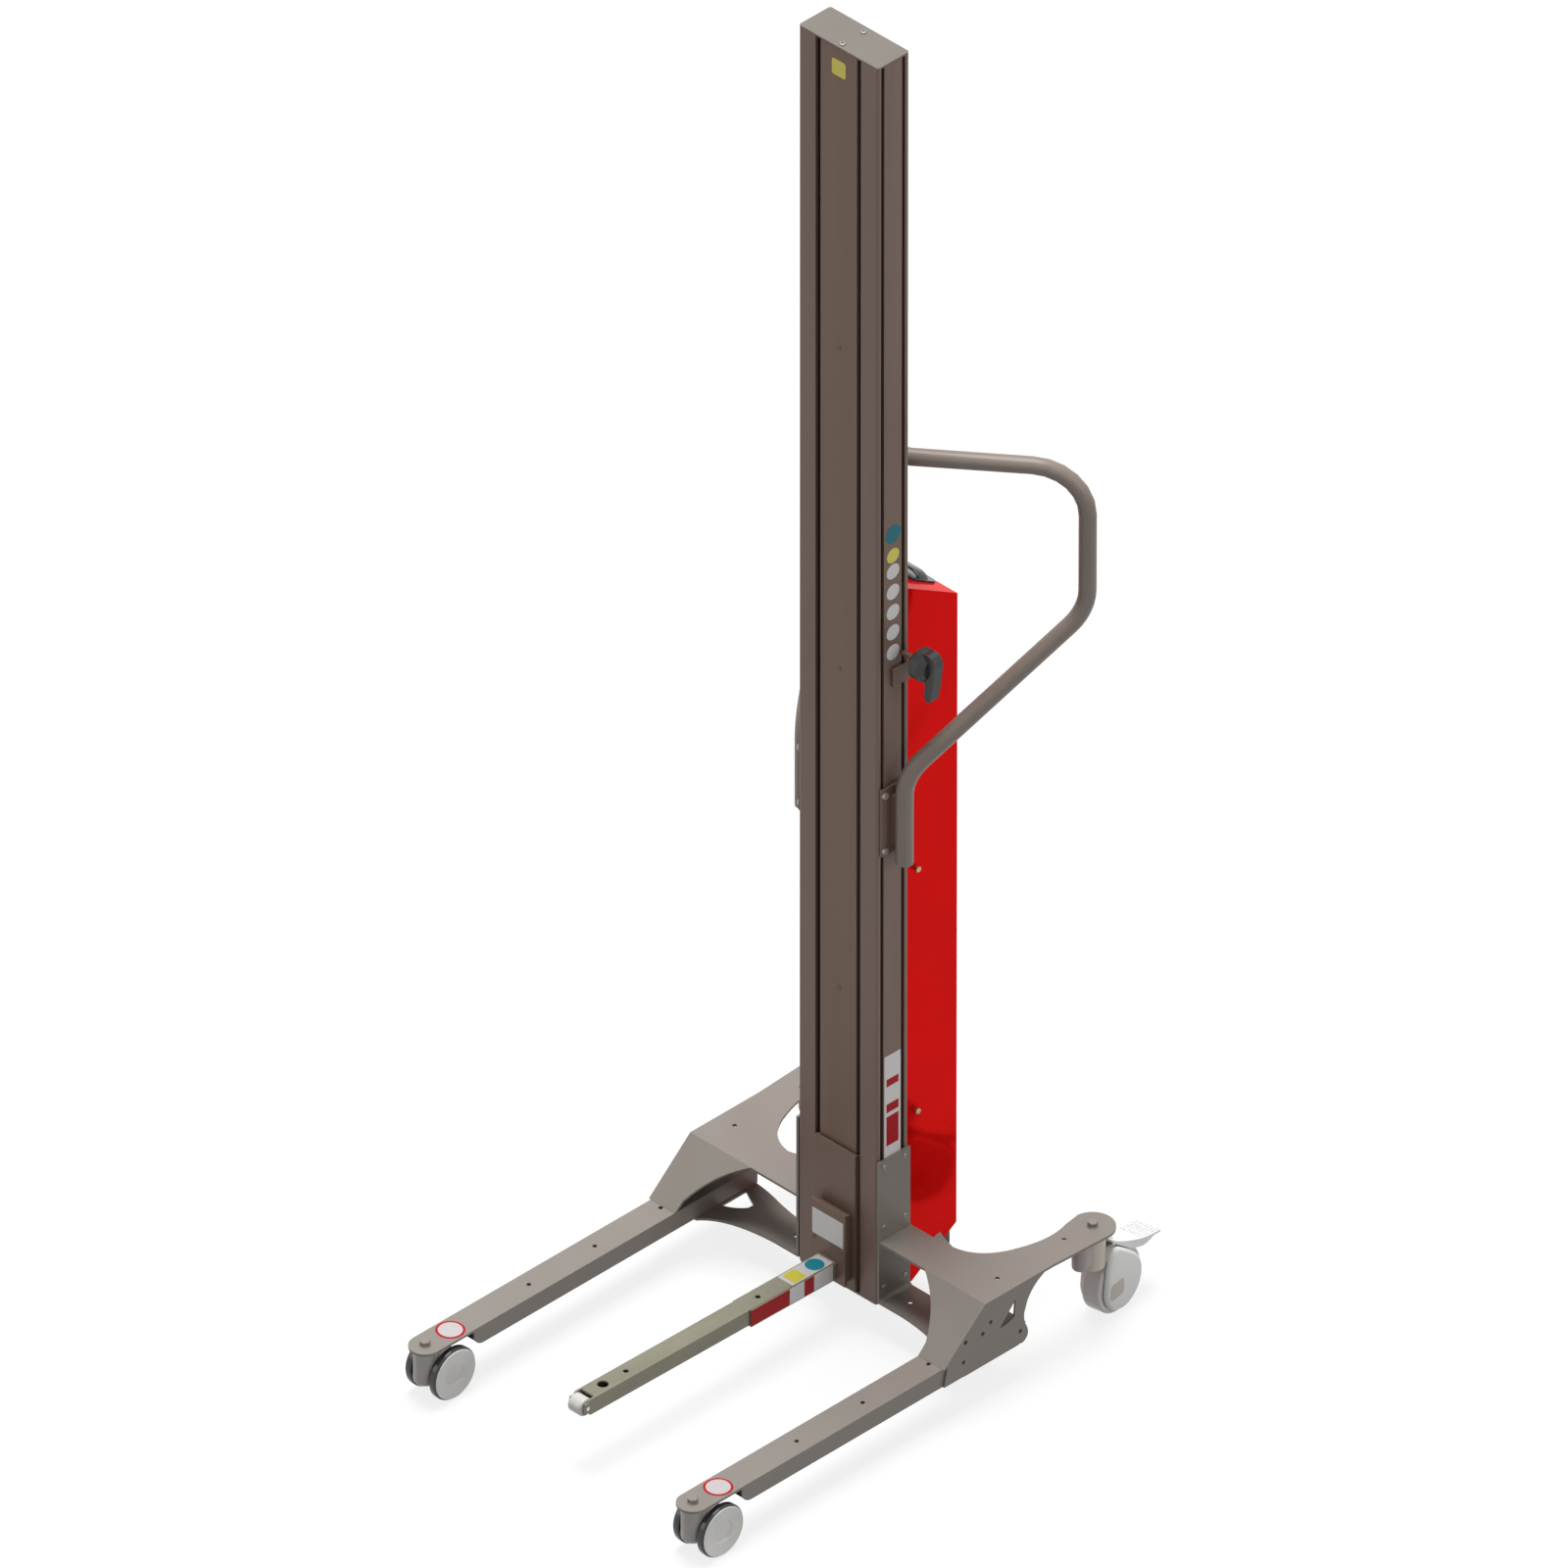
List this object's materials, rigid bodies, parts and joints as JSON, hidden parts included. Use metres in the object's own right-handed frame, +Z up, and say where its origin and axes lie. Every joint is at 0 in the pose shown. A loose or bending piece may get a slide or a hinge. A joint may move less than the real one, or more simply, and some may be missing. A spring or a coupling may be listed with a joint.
{
  "type": "single-mast stacker",
  "caption": "Tall slotted mast on two straight legs with swivel casters, a lifting carriage with a reel boom, a bent tube push handle and a tall red drive housing behind.",
  "frame": {"origin": "on the floor under the middle of the machine's bounding box", "axes": "+Z up along the mast, legs and boom point to -Y, +X to the right seen from the front"},
  "size_m": [0.577, 0.9216, 2.0902],
  "materials": {
    "coated_steel": "semi-gloss powder coat",
    "anodised_aluminium": "brown-grey anodised, satin",
    "zinc_steel": "zinc plated, satin",
    "red_cover": "high gloss",
    "black_plastic": "fine grained",
    "pale_plastic": "smooth",
    "white_plastic": "smooth",
    "caster_grey": "smooth",
    "tyre": "matt rubber",
    "clear_tyre": "smooth translucent",
    "bright_steel": "zinc plated",
    "battery": "matt",
    "motor": "painted, matt",
    "belt": "matt",
    "label": "blank film"
  },
  "bodies": {
    "frame": {"mast_profile": "anodised_aluminium", "mast_cap": "coated_steel", "mast_cover_strip": "anodised_aluminium", "mast_screws": "bright_steel", "mast_foot_plate": "coated_steel", "side_bracket_right": "coated_steel", "side_bracket_left": "coated_steel", "top_plate_right": "coated_steel", "top_plate_left": "coated_steel", "leg_right": "coated_steel", "leg_left": "coated_steel", "bracket_bolts": "bright_steel", "caster_bolts": "bright_steel", "handle_tube": "coated_steel", "handle_bracket_right": "coated_steel", "handle_bracket_left": "coated_steel", "handle_bolts": "bright_steel", "handle_saddle": "coated_steel", "drive_cover": "red_cover", "drive_chassis": "coated_steel", "battery_pack": "battery", "lift_motor": "motor", "lift_gearbox": "motor", "motor_controller": "motor", "cover_bolts": "bright_steel", "cover_grip": "black_plastic", "lift_belt_right": "belt", "lift_belt_left": "belt", "lever_mount": "coated_steel"},
    "carriage": {"carriage_frame": "coated_steel", "boom_bracket": "coated_steel", "bracket_screws": "bright_steel", "bracket_label": "label", "boom_tube": "zinc_steel", "boom_sleeve": "zinc_steel", "belt_clamps": "bright_steel", "roller_pins": "bright_steel", "boom_tip_pin": "bright_steel"},
    "guide_roller_upper_right": {"guide_roller_upper_right": "black_plastic"},
    "guide_roller_upper_left": {"guide_roller_upper_left": "black_plastic"},
    "guide_roller_lower_right": {"guide_roller_lower_right": "black_plastic"},
    "guide_roller_lower_left": {"guide_roller_lower_left": "black_plastic"},
    "tip_roller": {"tip_roller": "pale_plastic"},
    "drive_shaft": {"drive_shaft": "bright_steel"},
    "idler_shaft": {"idler_shaft": "bright_steel"},
    "clamp_lever": {"clamp_lever": "black_plastic"},
    "front_caster_right": {"front_caster_body_right": "caster_grey"},
    "front_wheels_right": {"front_wheel_hubs_right": "pale_plastic", "front_tyres_right": "tyre"},
    "rear_caster_right": {"rear_caster_body_right": "pale_plastic", "rear_axle_right": "bright_steel"},
    "rear_wheel_right": {"rear_wheel_right": "clear_tyre"},
    "brake_pedal_right": {"brake_pedal_right": "white_plastic"},
    "front_caster_left": {"front_caster_body_left": "caster_grey"},
    "front_wheels_left": {"front_wheel_hubs_left": "pale_plastic", "front_tyres_left": "tyre"},
    "rear_caster_left": {"rear_caster_body_left": "pale_plastic", "rear_axle_left": "bright_steel"},
    "rear_wheel_left": {"rear_wheel_left": "clear_tyre"},
    "brake_pedal_left": {"brake_pedal_left": "white_plastic"}
  },
  "joints": [
    {"name": "carriage_lift", "type": "slide", "parent": "frame", "child": "carriage", "axis": [0, 0, 1], "range_m": [0, 1.78]},
    {"name": "tip_roller_spin", "type": "hinge", "parent": "carriage", "child": "tip_roller", "pos_m": [0, -0.39697, 0.1], "axis": [1, 0, 0], "continuous": true},
    {"name": "drive_shaft_spin", "type": "hinge", "parent": "frame", "child": "drive_shaft", "pos_m": [0, 0.12518, 0.105], "axis": [1, 0, 0], "continuous": true},
    {"name": "idler_shaft_spin", "type": "hinge", "parent": "frame", "child": "idler_shaft", "pos_m": [0, 0.12518, 2.05], "axis": [1, 0, 0], "continuous": true},
    {"name": "lever_turn", "type": "hinge", "parent": "frame", "child": "clamp_lever", "pos_m": [0.105, 0.14418, 1.11], "axis": [1, 0, 0], "range_deg": [-90, 90]},
    {"name": "guide_roller_upper_right_spin", "type": "hinge", "parent": "carriage", "child": "guide_roller_upper_right", "pos_m": [0.049, 0.12518, 0.24], "axis": [1, 0, 0], "continuous": true},
    {"name": "guide_roller_upper_left_spin", "type": "hinge", "parent": "carriage", "child": "guide_roller_upper_left", "pos_m": [-0.049, 0.12518, 0.24], "axis": [1, 0, 0], "continuous": true},
    {"name": "guide_roller_lower_right_spin", "type": "hinge", "parent": "carriage", "child": "guide_roller_lower_right", "pos_m": [0.049, 0.12518, 0.1], "axis": [1, 0, 0], "continuous": true},
    {"name": "guide_roller_lower_left_spin", "type": "hinge", "parent": "carriage", "child": "guide_roller_lower_left", "pos_m": [-0.049, 0.12518, 0.1], "axis": [1, 0, 0], "continuous": true},
    {"name": "front_caster_right_swivel", "type": "hinge", "parent": "frame", "child": "front_caster_right", "pos_m": [0.2565, -0.43782, 0.08], "axis": [0, 0, 1], "continuous": true},
    {"name": "front_wheels_right_roll", "type": "hinge", "parent": "front_caster_right", "child": "front_wheels_right", "pos_m": [0.2565, -0.40882, 0.04], "axis": [1, 0, 0], "continuous": true},
    {"name": "rear_caster_right_swivel", "type": "hinge", "parent": "frame", "child": "rear_caster_right", "pos_m": [0.2565, 0.32718, 0.14], "axis": [0, 0, 1], "continuous": true},
    {"name": "rear_wheel_right_roll", "type": "hinge", "parent": "rear_caster_right", "child": "rear_wheel_right", "pos_m": [0.24886, 0.37051, 0.05], "axis": [0.9848, 0.1736, 0], "continuous": true},
    {"name": "brake_pedal_right_lift", "type": "hinge", "parent": "rear_caster_right", "child": "brake_pedal_right", "pos_m": [0.2506, 0.36066, 0.12], "axis": [0.9848, 0.1736, 0], "range_deg": [0, 12]},
    {"name": "front_caster_left_swivel", "type": "hinge", "parent": "frame", "child": "front_caster_left", "pos_m": [-0.2565, -0.43782, 0.08], "axis": [0, 0, 1], "continuous": true},
    {"name": "front_wheels_left_roll", "type": "hinge", "parent": "front_caster_left", "child": "front_wheels_left", "pos_m": [-0.2565, -0.40882, 0.04], "axis": [1, 0, 0], "continuous": true},
    {"name": "rear_caster_left_swivel", "type": "hinge", "parent": "frame", "child": "rear_caster_left", "pos_m": [-0.2565, 0.32718, 0.14], "axis": [0, 0, 1], "continuous": true},
    {"name": "rear_wheel_left_roll", "type": "hinge", "parent": "rear_caster_left", "child": "rear_wheel_left", "pos_m": [-0.24886, 0.37051, 0.05], "axis": [0.9848, -0.1736, 0], "continuous": true},
    {"name": "brake_pedal_left_lift", "type": "hinge", "parent": "rear_caster_left", "child": "brake_pedal_left", "pos_m": [-0.2506, 0.36066, 0.12], "axis": [0.9848, -0.1736, 0], "range_deg": [0, 12]}
  ],
  "couplings": [
    {"joint": "drive_shaft_spin", "follows": "carriage_lift", "rad_per_m": -55.556},
    {"joint": "idler_shaft_spin", "follows": "carriage_lift", "rad_per_m": -55.556}
  ]
}
